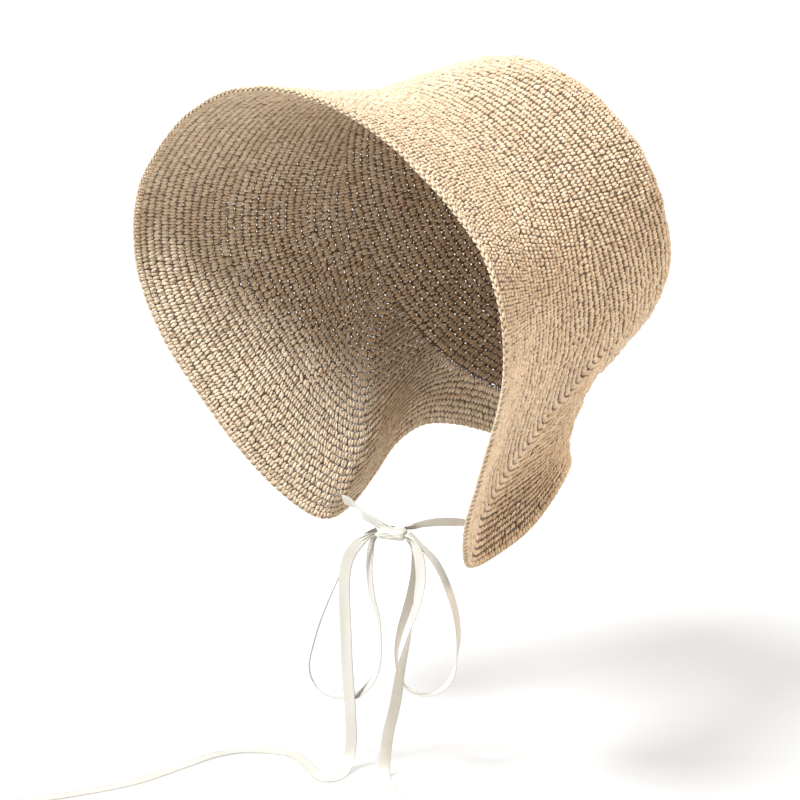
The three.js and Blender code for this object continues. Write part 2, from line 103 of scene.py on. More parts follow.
# %% Mesh helpers
def mesh_object(name, points, faces, material, attributes=None, uv=None):
    """An object from points in millimetres and arrays of faces. Attributes are one number a point."""
    mesh = bpy.data.meshes.new(name)
    points = np.asarray(points, np.float32).reshape(-1, 3) * METRES
    sizes = np.concatenate([np.full(len(f), f.shape[1]) for f in faces])
    corners = np.concatenate([f.reshape(-1) for f in faces]).astype(np.int32)
    mesh.vertices.add(len(points))
    mesh.loops.add(len(corners))
    mesh.polygons.add(len(sizes))
    mesh.vertices.foreach_set("co", points.ravel())
    mesh.loops.foreach_set("vertex_index", corners)
    mesh.polygons.foreach_set("loop_start", np.concatenate([[0], np.cumsum(sizes)[:-1]]))
    mesh.polygons.foreach_set("use_smooth", np.ones(len(sizes), bool))
    mesh.update(calc_edges=True)
    for key, values in (attributes or {}).items():
        layer = mesh.attributes.new(key, "FLOAT", "POINT")
        layer.data.foreach_set("value", np.asarray(values, np.float32).ravel())
    if uv is not None:
        layer = mesh.uv_layers.new(name="UVMap")
        layer.data.foreach_set("uv", np.asarray(uv, np.float32).reshape(-1, 2)[corners].ravel())
    mesh.materials.append(material)
    made = bpy.data.objects.new(name, mesh)
    bpy.context.collection.objects.link(made)
    print(name, len(points), "points", len(sizes), "faces")
    return made


def tube_faces(stations, sides):
    """Quads of a tube of closed rings, and one polygon to close each end."""
    ring = np.arange(sides)
    start = np.arange(stations - 1)[:, None] * sides
    quads = [start + ring, start + (ring + 1) % sides]
    quads += [quads[1] + sides, quads[0] + sides]
    last = (stations - 1) * sides
    return [np.stack(quads, -1).reshape(-1, 4), ring[None, ::-1], last + ring[None]]


# %% Material helpers
class Socket:
    """An output of a shader node, which +, -, * and the methods below turn into more nodes."""

    def __init__(self, material, output):
        self.material = material
        self.output = output

    def maths(self, operation, left, right):
        """A Math node on two values, each a socket or a number."""
        return self.material.node("ShaderNodeMath", {0: left, 1: right}, operation=operation)

    def __add__(self, other):
        return self.maths("ADD", self, other)

    def __radd__(self, other):
        return self.maths("ADD", other, self)

    def __sub__(self, other):
        return self.maths("SUBTRACT", self, other)

    def __rsub__(self, other):
        return self.maths("SUBTRACT", other, self)

    def __mul__(self, other):
        return self.maths("MULTIPLY", self, other)

    def __rmul__(self, other):
        return self.maths("MULTIPLY", other, self)

    def ramp(self, low, high):
        """0 below low, 1 above high, and straight between them."""
        settings = {"Value": self, "From Min": low, "From Max": high}
        return self.material.node("ShaderNodeMapRange", settings, clamp=True)

    def mix(self, dark, light):
        """A colour between two, by this factor. The colour sockets of a Mix node are 6, 7 and 2."""
        return self.material.node("ShaderNodeMix", {0: self, 6: dark, 7: light}, 2, data_type="RGBA")


class Material:
    """A Principled material under construction, with the shader's own constants as settings."""

    def __init__(self, name, **settings):
        self.made = bpy.data.materials.new(name)
        self.made.use_nodes = True
        self.tree = self.made.node_tree
        self.shader = self.tree.nodes["Principled BSDF"]
        for key, value in settings.items():
            self.fill(self.shader.inputs[key.replace("_", " ")], value)

    def fill(self, socket, value):
        """Links a socket or sets its constant."""
        if isinstance(value, Socket):
            self.tree.links.new(value.output, socket)
        elif socket.type == "RGBA":
            socket.default_value = (*value, 1)
        else:
            socket.default_value = value

    def node(self, kind, inputs, output=0, **settings):
        """Any node: its settings are set first, then the values or links of its sockets."""
        node = self.tree.nodes.new(kind)
        for key, value in settings.items():
            setattr(node, key, value)
        for key, value in inputs.items():
            self.fill(node.inputs[key], value)
        return Socket(self, node.outputs[output])

    def attribute(self, name):
        """The mesh's own number of that name at each point."""
        return self.node("ShaderNodeAttribute", {}, "Fac", attribute_name=name)

    def place(self, kind, stretch=(1, 1, 1)):
        """Object or UV coordinates, stretched."""
        vector = self.node("ShaderNodeTexCoord", {}, kind)
        return self.node("ShaderNodeMapping", {"Vector": vector, "Scale": stretch})

    def noise(self, vector, scale, detail):
        """A cloudy pattern from 0 to 1."""
        return self.node("ShaderNodeTexNoise", {"Vector": vector, "Scale": scale, "Detail": detail})

    def bump(self, height, strength, distance):
        """Relief too fine for the mesh, up to that distance in metres."""
        settings = {"Height": height, "Strength": strength, "Distance": distance}
        self.fill(self.shader.inputs["Normal"], self.node("ShaderNodeBump", settings))

    def colour(self, value):
        """The base colour, a socket or a constant."""
        self.fill(self.shader.inputs["Base Color"], value)


# %% [markdown]
# ## Materials
# Raffia is a dry split leaf: each strand has its own tone, fine fibres run along it, and a few strands
# are orange-brown or greenish. The tone is an attribute of the mesh, because a noise over the whole
# hat couldn't keep to one strand, and the fibres are a noise stretched along the strand's own UVs. A
# second attribute, crest, paints shade: what lies down between the strands is darkened to a deep
# brown. Satin is smooth, with a soft sheen, fine threads along the ribbon and a slightly darker woven
# edge.

# %% Materials
# painted shade: the deep brown that the crest attribute paints between the strands and on the stitch
# ground
RAFFIA_PAINTED_SHADE = (0.08, 0.04, 0.018)
RAFFIA_SHADE = (0.54, 0.37, 0.225)
RAFFIA_LIGHT = (0.92, 0.73, 0.52)
EDGE_LIGHT = (0.88, 0.69, 0.47)
GINGER = (0.55, 0.30, 0.13)
GREENISH = (0.52, 0.50, 0.27)
SATIN_SHADE = (0.56, 0.50, 0.42)
SATIN_LIGHT = (0.68, 0.63, 0.55)
SATIN_EDGE = (0.50, 0.44, 0.36)
ALONG_STRAND = (2.8, 0.7, 1)
ALONG_RIBBON = (14, 0.5, 1)


def raffia_material(name, light):
    """Strands between RAFFIA_SHADE and the given light colour, darkened by painted shade between them.
    """
    straw = Material(name, Roughness=0.5, Specular_IOR_Level=0.5, Sheen_Weight=0.2, Sheen_Roughness=0.5)
    tone = straw.attribute("tone")
    fibres = straw.noise(straw.place("UV", ALONG_STRAND), 1, 3)
    patches = straw.noise(straw.place("Object"), 30, 3)
    paleness = (tone * 0.6 + fibres * 1.3 + patches * 0.3 - 0.62).ramp(0.1, 0.85)
    colour = paleness.mix(RAFFIA_SHADE, light)
    ginger = tone.ramp(0.84, 0.95) * 0.55
    colour = ginger.mix(colour, GINGER)
    green = tone.ramp(0.12, 0.04) * 0.4
    colour = green.mix(colour, GREENISH)
    # painted shade: low places, by the crest attribute, are darkened towards the deep brown
    straw.colour(straw.attribute("crest").ramp(0.05, 0.6).mix(RAFFIA_PAINTED_SHADE, colour))
    straw.bump(fibres, 0.6, 0.0006)
    return straw.made


def satin_material():
    """Threads along the ribbon, clouded a little, and a darker, raised woven edge."""
    satin = Material("satin", Roughness=0.34, Specular_IOR_Level=0.5, Sheen_Weight=0.25, Anisotropic=0.4)
    threads = satin.noise(satin.place("UV", ALONG_RIBBON), 1, 2)
    cloud = satin.noise(satin.place("Object"), 40, 2)
    edge = satin.attribute("edge")
    colour = (threads * 0.5 + cloud * 0.5).ramp(0.3, 0.7).mix(SATIN_SHADE, SATIN_LIGHT)
    satin.colour(edge.ramp(0.86, 1.0).mix(colour, SATIN_EDGE))
    satin.bump(threads * 0.4 + edge.ramp(0.84, 0.94), 0.3, 0.0002)
    return satin.made


RAFFIA = raffia_material("raffia", RAFFIA_LIGHT)
RAFFIA_EDGE = raffia_material("raffia_edge", EDGE_LIGHT)
SATIN = satin_material()
print("materials", [made.name for made in (RAFFIA, RAFFIA_EDGE, SATIN)])

# %% [markdown]
# ## Ribbon
# A satin ribbon keeps its width and its length and bends only across its face. A cloth simulation
# could drop it into place, but where its loops come to rest is hard to steer, so each length is a
# thin strip carried along a route of listed points. The points are in the bow's own directions:
# across to the right, out to the front and up. The strip's width lies along the compass direction
# of its face, turned from there about the route, and the knot gathers it into pleats.

# %% Ribbon routes
RIBBON = 7
RIBBON_THICKNESS = 0.36
GATHERED = 0.4
GATHER_LENGTH = 14
PLEAT = 0.7
PLEAT_DRIFT = 0.05
CURL = 0.5
SWAY_LENGTH = 17
BOW = np.array([12, -83, -153.5])
BOW_TURN = math.radians(25)
ACROSS = np.array([math.cos(BOW_TURN), math.sin(BOW_TURN), 0])
OUT = np.array([math.sin(BOW_TURN), -math.cos(BOW_TURN), 0])
FLOOR = -151.9
ON_TABLE = BOW[2] + FLOOR + 1
FLATTEST = 0.5
LEVEL_FACE = 90
STRIP_POINTS = 13
PATH_POINTS = 40

# across, out, up, turn
TIE_LEFT = [
    (-3, -6, -1, 90), (-4.8, -6.1, -1.4, 88), (-6.6, -6.2, -1.6, 85), (-8.8, -6.6, -1.5, 82),
    (-11, -7.3, -1.2, 78), (-13.4, -8.4, -0.8, 75), (-15.8, -9.8, -0.4, 72), (-18.8, -11.6, -0.1, 70),
    (-21.8, -13.6, 0, 68), (-27.7, -18.9, 0, 68), (-33, -25.5, 0.2, 70), (-38, -33, 0, 74),
    (-43, -40.5, -1, 78), (-48, -46, -2.2, 80), (-52, -49, -3, 80),
]
TIE_RIGHT = [
    (3, -6, -0.5, -90), (5.7, -6.3, 0.2, -76), (8.6, -6.2, 1, -60), (10.9, -5.5, 2.1, -51),
    (13.3, -4.6, 3.4, -45), (16.5, -3.6, 4.7, -48), (19.9, -3, 5.8, -52), (23, -2.9, 6.6, -55),
    (26.1, -3.2, 7.1, -58), (30.2, -4.4, 7.2, -60), (34.3, -6, 7, -61), (37.7, -7.6, 6.6, -58),
    (41, -9, 6, -54), (46, -9.5, 4, -60), (49.2, -7.9, 1.5, -70),
]
LOOP_LEFT = [
    (-12, 0, -0.9, 80), (-15.5, 0, -3, 60), (-21, 0, -8.5, 37), (-27.5, 0, -16, 20), (-31.5, 0, -24, 4),
    (-35, 0, -32, -6), (-41.5, 0, -47, -8), (-48, 0, -64, -10), (-52.5, 0, -79, -13),
    (-55, 0, -90, -16), (-54.5, 0, -98, -21), (-52, 0, -103.5, -25), (-48, 0, -108, -25),
    (-41.5, 0, -110.5, -18), (-32.5, 0, -110, 0), (-24.5, 0, -107, 20), (-19.3, 0, -102, 29),
    (-14, 0, -94.5, 31), (-11, 0, -86, 29), (-10, 0, -76.5, 28), (-10.3, 0, -67, 32),
    (-12, 0, -55, 44), (-15, 0, -44, 50), (-16.4, 0, -33, 49), (-16.7, 0, -24, 49),
    (-16, 0, -16.5, 52), (-14.6, 0, -9.2, 62), (-12.5, 0, -5, 80),
]
LOOP_RIGHT = [
    (7.3, 0, -0.8, 30), (10.5, 0, -3.6, 10), (14.5, 0, -7, -2), (19.5, 0, -11, 0), (24.8, 0, -16.8, 7),
    (29.8, 0, -25.5, 9), (34.1, 0, -36, 10), (37.2, 0, -46.5, 7), (38.8, 0, -57, 3),
    (39, 0, -66.5, -4), (38.2, 0, -74.5, -14), (36.9, 0, -81.5, -28), (34.4, 0, -88.5, -33),
    (30.1, 0, -94.5, -22), (24.5, 0, -98.8, -7), (17, 0, -101.2, 8), (9.6, 0, -100, 18),
    (4.3, 0, -96.4, 18), (1.2, 0, -90.5, 14), (0, 0, -82.5, 10), (0, 0, -76.3, 3),
    (0.9, 0, -69.8, -8), (2.5, 0, -62.7, -17), (4.4, 0, -56, -25), (6.5, 0, -49.5, -30),
    (9, 0, -40, -31), (11, 0, -29.5, -26), (12, 0, -19.5, -22), (11.4, 0, -12, -18),
    (9.5, 0, -7.6, -14), (7.2, 0, -4.8, -10),
]
# across, out, up, face
TAIL_LEFT = [
    (-12.1, 3.4, -2.6, 0), (-17.5, 5, -5.4, -4), (-24, 6, -12, -2), (-28.4, 6, -21.3, -2),
    (-30.1, 6, -32.7, -2), (-30.1, 6, -45.3, -2), (-29.6, 6, -58, -2), (-29.1, 6, -70.5, -2),
    (-28.8, 6, -83, -2), (-28.1, 6, -96, -2), (-27.2, 6, -108.5, -2), (-26.6, 6, -121, -2),
    (-26.4, 6, -134, -2), (-27.2, 7, -144, -2), (-27.6, 11.5, -150, 0), (-28.3, 19.5, FLOOR, 8),
    (-31.5, 26.5, FLOOR, 40), (-38, 26.5, FLOOR, 95), (-48.3, 16.3, FLOOR, 133),
    (-59, 5.5, FLOOR, 125), (-69, -0.5, FLOOR, 105), (-78.5, -0.5, FLOOR, 90),
    (-88, 1.5, FLOOR, 77), (-99, 6, FLOOR, 60), (-111.3, 18, FLOOR, 37), (-120.6, 35, FLOOR, 23),
    (-140, 69.5, FLOOR, 30), (-171, 102, FLOOR, 45), (-195.3, 121.2, FLOOR, 52),
]
TAIL_RIGHT = [
    (7.2, 3.5, -1.6, 30), (10.5, 4.4, -3, 24), (14.2, 5.4, -7.1, 16), (16.8, 6, -14.5, 10),
    (17.6, 6, -26.5, 16), (16.4, 6, -35.6, 26), (14.9, 6, -44.5, 42), (13.4, 6, -51, 57),
    (11.8, 6, -57.4, 78), (10.2, 6.6, -65, 94), (8.1, 7.2, -73.7, 106), (6.7, 7.8, -79.6, 116),
    (5.5, 8.4, -86, 122), (4.6, 8.8, -93.2, 128), (3.2, 9, -103, 140), (1.1, 9, -113, 148),
    (-1.5, 9, -124, 152), (-3.3, 9, -137, 152), (-3.8, 10, -146.5, 152), (-2.8, 13, -150.4, 150),
    (2, 20, FLOOR, 148), (8, 28.5, FLOOR, 145), (15.8, 40, FLOOR, 146), (20.8, 47, FLOOR, 145),
]


# %% Ribbon shapes
def smooth(table, at):
    """Columns of a table at places between its rows, a cubic with the neighbouring rows' slopes."""
    key, columns = table[:, 0], table[:, 1:]
    row = np.clip(np.searchsorted(key, at, side="right") - 1, 0, len(key) - 2)
    each = np.arange(len(key))
    after, before = np.minimum(each + 1, len(key) - 1), np.maximum(each - 1, 0)
    slope = (columns[after] - columns[before]) / (key[after] - key[before])[:, None]
    length = (key[row + 1] - key[row])[..., None]
    t = np.clip((np.asarray(at)[..., None] - key[row][..., None]) / length, 0, 1)
    low = (2 * t**3 - 3 * t**2 + 1) * columns[row] + (t**3 - 2 * t**2 + t) * length * slope[row]
    high = (3 * t**2 - 2 * t**3) * columns[row + 1] + (t**3 - t**2) * length * slope[row + 1]
    return low + high


def unit(vectors):
    """Each vector divided by its length."""
    return vectors / np.linalg.norm(vectors, axis=-1, keepdims=True)


# %% Ribbon strips
def ribbon(name, rows, last_column, held):
    """A strip of ribbon along a route whose last column is its face or its turn. held names the ends
    that the knot gathers. Across the strip, with -1 <= u <= 1, a point stands off the route's plane
    by CURL (u^2 - 1/3) plus pleats PLEAT cos(3 pi u), which are gone past GATHER_LENGTH."""
    rows = np.array(rows, float)
    centre = BOW + rows[:, :1] * ACROSS + rows[:, 1:2] * OUT + rows[:, 2:3] * [0, 0, 1]
    unturned = np.zeros(len(rows))
    face, turn = (rows[:, 3], unturned) if last_column == "face" else (unturned + LEVEL_FACE, rows[:, 3])
    run = np.concatenate([[0], np.cumsum(np.linalg.norm(np.diff(centre, axis=0), axis=1))])
    table = np.column_stack([run, centre, face, turn])
    at = np.linspace(0, run[-1], int(run[-1]))
    line = smooth(table, at)
    centres, face, turn = line[:, :3], np.radians(line[:, 3:4]), np.radians(line[:, 4:5])
    ahead = unit(np.gradient(centres, axis=0))
    level = np.cos(face) * ACROSS + np.sin(face) * OUT
    square = unit(level - (level * ahead).sum(1, keepdims=True) * ahead)
    wide = square * np.cos(turn) + np.cross(ahead, square) * np.sin(turn)
    thick = np.cross(ahead, wide)
    from_knot = np.minimum(at, at[-1] - at) if "end" in held else at
    t = np.clip(from_knot / GATHER_LENGTH, 0, 1)
    opened = t * t * (3 - 2 * t)
    half = RIBBON / 2 * (GATHERED + (1 - GATHERED) * opened)
    u = np.linspace(-1, 1, STRIP_POINTS)
    pleat = (1 - opened)[:, None] * np.cos(3 * math.pi * u + at[:, None] * PLEAT_DRIFT)
    sway = np.sin(at / SWAY_LENGTH + len(rows))[:, None] * 0.5 + 0.5
    off = CURL * opened[:, None] * sway * (u**2 - 1 / 3) + PLEAT * pleat
    off = np.stack([off + RIBBON_THICKNESS / 2, off - RIBBON_THICKNESS / 2], 1)
    lying = centres[:, 2, None, None] < ON_TABLE
    off = np.where(lying, np.clip(off, -FLATTEST, FLATTEST), off)
    section = centres[:, None, None] + (half[:, None] * u)[:, None, :, None] * wide[:, None, None]
    section = section + off[..., None] * thick[:, None, None]
    ring = np.concatenate([section[:, 0], section[:, 1, ::-1]], 1)
    stations, sides = ring.shape[:2]
    u_ring = np.concatenate([u, u[::-1]])
    uv = np.stack(np.broadcast_arrays(u_ring * RIBBON / 2, at[:, None]), -1)
    edge = np.broadcast_to(abs(u_ring), (stations, sides))
    made = mesh_object(name + "_satin", ring, tube_faces(stations, sides), SATIN, {"edge": edge}, uv)
    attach(made, "root")
    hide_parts(name)
    tuple(centre[0] * METRES)
    (smooth(table, np.linspace(0, run[-1], PATH_POINTS))[:, :3] * METRES).tolist()
    print(name, "is", round(run[-1], 1), "mm long")


# %% [markdown]
# ## Knot
# The middle of the bow is the ribbon wrapped round itself and pulled tight. It could be one more
# strip wound round the others, but pulled tight its wraps run into each other, so it is a short
# closed bar, rounder at its ends, with slanting creases and the step of the last wrap's edge.

# %% Knot
KNOT = {"left": -11, "right": 6.5, "depth": 10, "height": 7.6, "middle": -2.2}
KNOT_RINGS = 60
KNOT_SIDES = 64


def knot_shape():
    """A superellipse of exponent 3 round the bar, drawn in by (1 - s^6)^(1/2) towards its ends, with
    creases of depth 0.14 sin(7 a + 5 s) + 0.12 sin(13 a - 7 s + 1) that fade at the ends. s runs
    from -1 to 1 along the bar and a is the angle round it."""
    s = np.linspace(-1, 1, KNOT_RINGS)[:, None]
    a = np.linspace(0, 2 * math.pi, KNOT_SIDES, endpoint=False)[None]
    full = (abs(np.sin(a)) ** 3 + abs(np.cos(a)) ** 3) ** (-1 / 3)
    draw = 0.35 + 0.65 * np.sqrt(np.clip(1 - s**6, 0, 1))
    pinch = 1 - 0.10 * np.cos(math.pi * s / 2) ** 2
    crease = 0.14 * np.sin(7 * a + 5 * s) + 0.12 * np.sin(13 * a - 7 * s + 1)
    wrap = 0.35 / (1 + np.exp(-14 * (np.sin(a + 2.2) + 0.55 * s)))
    round_off = (crease + wrap) * np.clip(1.2 - abs(s), 0, 1)
    out = full * np.cos(a) * (KNOT["depth"] / 2 * draw * pinch + round_off - 0.4)
    up = full * np.sin(a) * (KNOT["height"] / 2 * draw * pinch + round_off - 0.4) + KNOT["middle"]
    across = (KNOT["left"] + KNOT["right"]) / 2 + s * (KNOT["right"] - KNOT["left"]) / 2 + 0 * a
    points = BOW + across[..., None] * ACROSS + out[..., None] * OUT + up[..., None] * [0, 0, 1]
    uv = np.stack(np.broadcast_arrays(a * KNOT["height"] / 2, across), -1)
    faces = tube_faces(KNOT_RINGS, KNOT_SIDES)
    return mesh_object("bow_knot_satin", points, faces, SATIN, {"edge": 0 * across}, uv)


# %% Bow in place
knot = knot_shape()
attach(knot, "root")
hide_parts("bow_knot")

ribbon("tie_left", TIE_LEFT, "turn", ("start",))
ribbon("tie_right", TIE_RIGHT, "turn", ("start",))
ribbon("bow_loop_left", LOOP_LEFT, "turn", ("start", "end"))
ribbon("bow_loop_right", LOOP_RIGHT, "turn", ("start", "end"))
ribbon("tail_left", TAIL_LEFT, "face", ("start",))
ribbon("tail_right", TAIL_RIGHT, "face", ("start",))

# %% [markdown]
# ## Shape of the straw
# The crown is a bucket with an oval round, and the brim runs from its opening to the free edge. The
# CAD walls could be read from the frame, but they are loose triangles without rows or columns, so
# the same tables and formulas are used again here, and they give the walls' outer face.

# %% Straw tables
WALL = 2.5
BORDER = 4
CROWN_TILT = math.radians(21)
SQUARENESS = 2.1
CENTRE = np.array([0, -4, -1])
ROLL_WIDTH = 10
ARRIVAL = 0.8
# small steps, of a share and in degrees, that find the slope of a surface
DIFFERENCE = 1e-3
ANGLE_DIFFERENCE = 0.1
ALONG = np.array([0, math.cos(CROWN_TILT), math.sin(CROWN_TILT)])
UP = np.array([0, -math.sin(CROWN_TILT), math.cos(CROWN_TILT)])
RIGHT = np.array([1, 0, 0])

# step, along the axis, half width, half height, lift; the last row mirrors the one before the tip
CROWN = np.array([
    (0, 0, 101, 107, 4), (1, 30, 95.5, 103, 0.5), (2, 54, 91, 98.5, -1), (3, 68, 88, 94, -1.5),
    (4, 77, 83, 88, -1.5), (5, 83, 73, 78, -1.5), (6, 85.5, 54, 58, -1.5), (7, 87, 27, 29, -1.5),
    (8, 87.5, 0, 0, -1.5), (9, 87, -27, -29, -1.5),
])
CROWN_TIP = 8
# angle from over the face to the nape, x, y, z of the free edge; the end rows are mirror images
EDGE = np.array([
    (-17, -36, -157, 111), (0, 0, -158, 114.5), (17, 36, -157, 111), (34, 68, -153, 100),
    (49, 98, -150, 82), (60, 122, -146, 62), (70, 142, -143, 38), (78, 151, -141, 10),
    (86, 150, -138, -23), (94, 136, -132, -58), (102, 116, -122, -91), (109, 94, -109, -124),
    (115, 76, -92, -151), (121, 64, -73, -167), (128, 64, -50, -164), (136, 68, -27, -153),
    (144, 69, -5, -136), (152, 62, 13, -126), (161, 45, 27, -125), (171, 23, 35, -127),
    (180, 0, 38, -128), (189, -23, 35, -127),
])
# angle, lead, flare in degrees, swell, roll
FLARE = np.array([
    (0, 1, 28, 0, 0), (40, 1, 33, 0, 0), (80, 0.9, 38, 0, 0), (100, 0.8, 34, 0, 2),
    (115, 0.7, 40, 0, 3.5), (125, 0.6, 56, 1, 2), (140, 0.4, 70, 4, 0), (160, 0.3, 90, 3, 0),
    (180, 0.3, 100, 2, 0),
])


# %% Straw surfaces
def crown_point(angle, step):
    """A point of the crown's outer face, on an oval round the tilted axis. With n as SQUARENESS, the
    half width times sin a and the half height times cos a are both scaled by
    (|sin a|^n + |cos a|^n)^(-1/n), which makes the oval a little squarer than an ellipse."""
    angle, step = np.broadcast_arrays(angle, step)
    along, half_width, half_height, lift = np.moveaxis(smooth(CROWN, step), -1, 0)
    a = np.radians(angle)
    power = abs(np.sin(a)) ** SQUARENESS + abs(np.cos(a)) ** SQUARENESS
    oval = power ** (-1 / SQUARENESS)
    sideways = (half_width * np.sin(a) * oval)[..., None] * RIGHT
    upwards = (half_height * np.cos(a) * oval + lift)[..., None] * UP
    return CENTRE + sideways + upwards + along[..., None] * ALONG


def fold(angle):
    """The angle as the tables list it and the side of the hat that it is on."""
    turned = np.mod(angle, 360)
    return np.where(turned > 180, 360 - turned, turned), np.where(turned > 180, -1, 1)


def plain_brim(angle, share):
    """The brim before its swell and roll: a cubic from the opening, share 0, to the edge, share 1. It
    leaves the opening in the line of the crown's wall and reaches the edge at the table's flare."""
    angle, share = np.broadcast_arrays(angle, share)
    folded, side = fold(angle)
    end = smooth(EDGE, folded) * np.stack([side, side * side, side * side], -1)
    lead, flare = smooth(FLARE, folded)[..., 0:1], np.radians(smooth(FLARE, folded)[..., 1:2])
    start = crown_point(angle, 0 * share)
    width = np.linalg.norm(end - start, axis=-1, keepdims=True)
    a = np.radians(angle)[..., None]
    outward = np.cos(a) * UP + np.sin(a) * RIGHT
    leave = unit(start - crown_point(angle, 0 * share + DIFFERENCE)) * width * lead
    arrive = (outward * np.sin(flare) - ALONG * np.cos(flare)) * width * ARRIVAL
    v = share[..., None]
    near = (2 * v**3 - 3 * v**2 + 1) * start + (v**3 - 2 * v**2 + v) * leave
    return near + (3 * v**2 - 2 * v**3) * end + (v**3 - v**2) * arrive


def normal(surface, angle, at, direction):
    """The unit vector square to a surface: the cross product of its slopes both ways."""
    around = surface(angle + ANGLE_DIFFERENCE, at) - surface(angle - ANGLE_DIFFERENCE, at)
    low = np.maximum(at - DIFFERENCE, 0)
    climb = surface(angle, low + 2 * DIFFERENCE) - surface(angle, low)
    return unit(np.cross(around, climb)) * direction


def brim_point(angle, share):
    """The brim's outer face. It stands off the plain one by 4 v (1 - v) swell, at share v, and by
    r e^(1 - r) roll, where r is the distance from the edge in ROLL_WIDTHs."""
    swell, roll = np.moveaxis(smooth(FLARE, fold(angle)[0])[..., 2:], -1, 0)
    point = plain_brim(angle, share)
    inside = np.linalg.norm(point - plain_brim(angle, 0 * share + 1), axis=-1) / ROLL_WIDTH
    rise = 4 * share * (1 - share) * swell + inside * np.exp(1 - inside) * roll
    return point + normal(plain_brim, angle, share, -1) * rise[..., None]


# %% Sheets to work on
class Sheet:
    """A face of the straw as a grid, read by angle and by distance from the grid's first line."""

    ANGLES = 720
    STEPS = 240

    def __init__(self, surface, direction, start, end):
        self.angles = np.linspace(0, 360, self.ANGLES + 1)
        angle, at = np.meshgrid(self.angles, np.linspace(start, end, self.STEPS), indexing="ij")
        points = surface(angle, at)
        run = np.linalg.norm(np.diff(points, axis=1), axis=2).cumsum(1)
        run = np.pad(run, ((0, 0), (1, 0)))
        self.length = run[:, -1]
        even = np.linspace(0, 1, self.STEPS)
        at = np.stack([np.interp(even * r[-1], r, a) for r, a in zip(run, at)])
        self.points = surface(angle, at)
        self.normals = normal(surface, angle, np.clip(at, 2 * DIFFERENCE, None), direction)
        if surface is crown_point:
            self.normals[:, -1] = ALONG

    def lengths(self, angle):
        """How far the face runs from its first line to its last, at that angle."""
        return np.interp(np.mod(angle, 360), self.angles, self.length)

    def at(self, angle, distance):
        """The points and normals there, in proportion between the grid's four around them."""
        across = np.mod(angle, 360) / 360 * self.ANGLES
        down = np.clip(distance / self.lengths(angle), 0, 1) * (self.STEPS - 1)
        i = np.clip(across.astype(int), 0, self.ANGLES - 1)
        j = np.clip(down.astype(int), 0, self.STEPS - 2)
        p, q = (across - i)[..., None], (down - j)[..., None]
        weights = [
            (i, j, (1 - p) * (1 - q)),
            (i + 1, j, p * (1 - q)),
            (i, j + 1, (1 - p) * q),
            (i + 1, j + 1, p * q),
        ]
        points = sum(self.points[a, b] * w for a, b, w in weights)
        normals = sum(self.normals[a, b] * w for a, b, w in weights)
        return points, unit(normals)


brim_sheet = Sheet(brim_point, -1, 1, 0)
crown_sheet = Sheet(crown_point, 1, 0, CROWN_TIP)
brim_sheet.normals[:, -1] = crown_sheet.normals[:, 0]
print("brim", brim_sheet.length.min().round(1), "to", brim_sheet.length.max().round(1), "mm deep")
print("crown", crown_sheet.length.mean().round(1), "mm from opening to tip")

# %% [markdown]
# ## Rounds of stitches
# The hat is worked in rounds that follow the free edge on the brim and the tip on the crown. A plain
# grid would squeeze its cells where the rounds are short, so the stitches are counted as a maker
# counts them: each leans a little way along from the one that it is worked into, where a round
# grows too tight a stitch is left out, and where it grows too wide one is put in.

# %% Rounds
STITCH = 4.5
EDGE_ROUND = 4.3
ROUND = 5.3
LEAN = 0.28
TIGHT = 0.76
WIDE = 1.3
EVENING = 0.25
EVENING_PASSES = 3
RUN_OUT = 0.25
RUN_OUT_WIDTH = 0.6


class Round:
    """One round of stitches: the angles of its stitch sides, and its near and far distances."""

    def __init__(self, sheet, sides, near, far):
        self.sheet, self.sides, self.near, self.far = sheet, sides, near, far


def run_length(sheet, line):
    """Angles and the length run along a line of the sheet, whose distance is a function of angle."""
    angles = sheet.angles
    points, _ = sheet.at(angles, line(angles))
    run = np.concatenate([[0], np.linalg.norm(np.diff(points, axis=0), axis=1).cumsum()])
    return angles, run


def next_sides(sides, angles, run):
    """Stitch sides of the next round: the last ones leant along, thinned or filled, then evened."""
    total = run[-1]
    place = np.interp(np.mod(sides, 360), angles, run) + total * np.floor(sides / 360)
    following = np.append(place[1:], place[0] + total)
    place = list(place + LEAN * (following - place))
    kept, n = [], 0
    while n < len(place):
        kept.append(place[n])
        gap = (place[n + 1] if n + 1 < len(place) else place[0] + total) - place[n]
        if gap > WIDE * STITCH:
            kept.append(place[n] + gap / 2)
        if gap < TIGHT * STITCH and n + 1 < len(place):
            n += 1
            kept[-1] = (place[n - 1] + place[n]) / 2
        n += 1
    place = np.array(kept)
    for _ in range(EVENING_PASSES):
        before = np.append(place[-1] - total, place[:-1])
        after = np.append(place[1:], place[0] + total)
        place = place + EVENING * (before + after - 2 * place)
    return np.interp(np.mod(place, total), run, angles) + 360 * np.floor(place / total)


def rounds(sheet, lines):
    """The rounds between successive lines, each line a function of angle."""
    made = []
    sides = None
    for near, far in zip(lines[:-1], lines[1:]):
        angles, run = run_length(sheet, lambda a: (near(a) + far(a)) / 2)
        if sides is None:
            count = round(run[-1] / STITCH)
            sides = np.interp(np.linspace(0, run[-1], count, endpoint=False), run, angles)
        else:
            sides = next_sides(sides, angles, run)
        made.append(Round(sheet, sides, near, far))
    return made


# %% Rounds in place
def brim_line(distance):
    """A line that far from the edge. Where less than a round is left before the opening, the line
    moves over to the opening, so that the round before it widens and this one runs out."""

    def line(angle):
        whole = brim_sheet.lengths(angle)
        left = np.maximum(whole - distance, 0)
        t = np.clip((left / ROUND - RUN_OUT) / RUN_OUT_WIDTH, 0, 1)
        t = t * t * (3 - 2 * t)
        return np.where(left > 0, distance + left * (1 - t), whole)

    return line


def crown_line(share):
    """A line at that share of the way from the crown's opening to its tip."""
    return lambda angle: share * crown_sheet.lengths(angle)


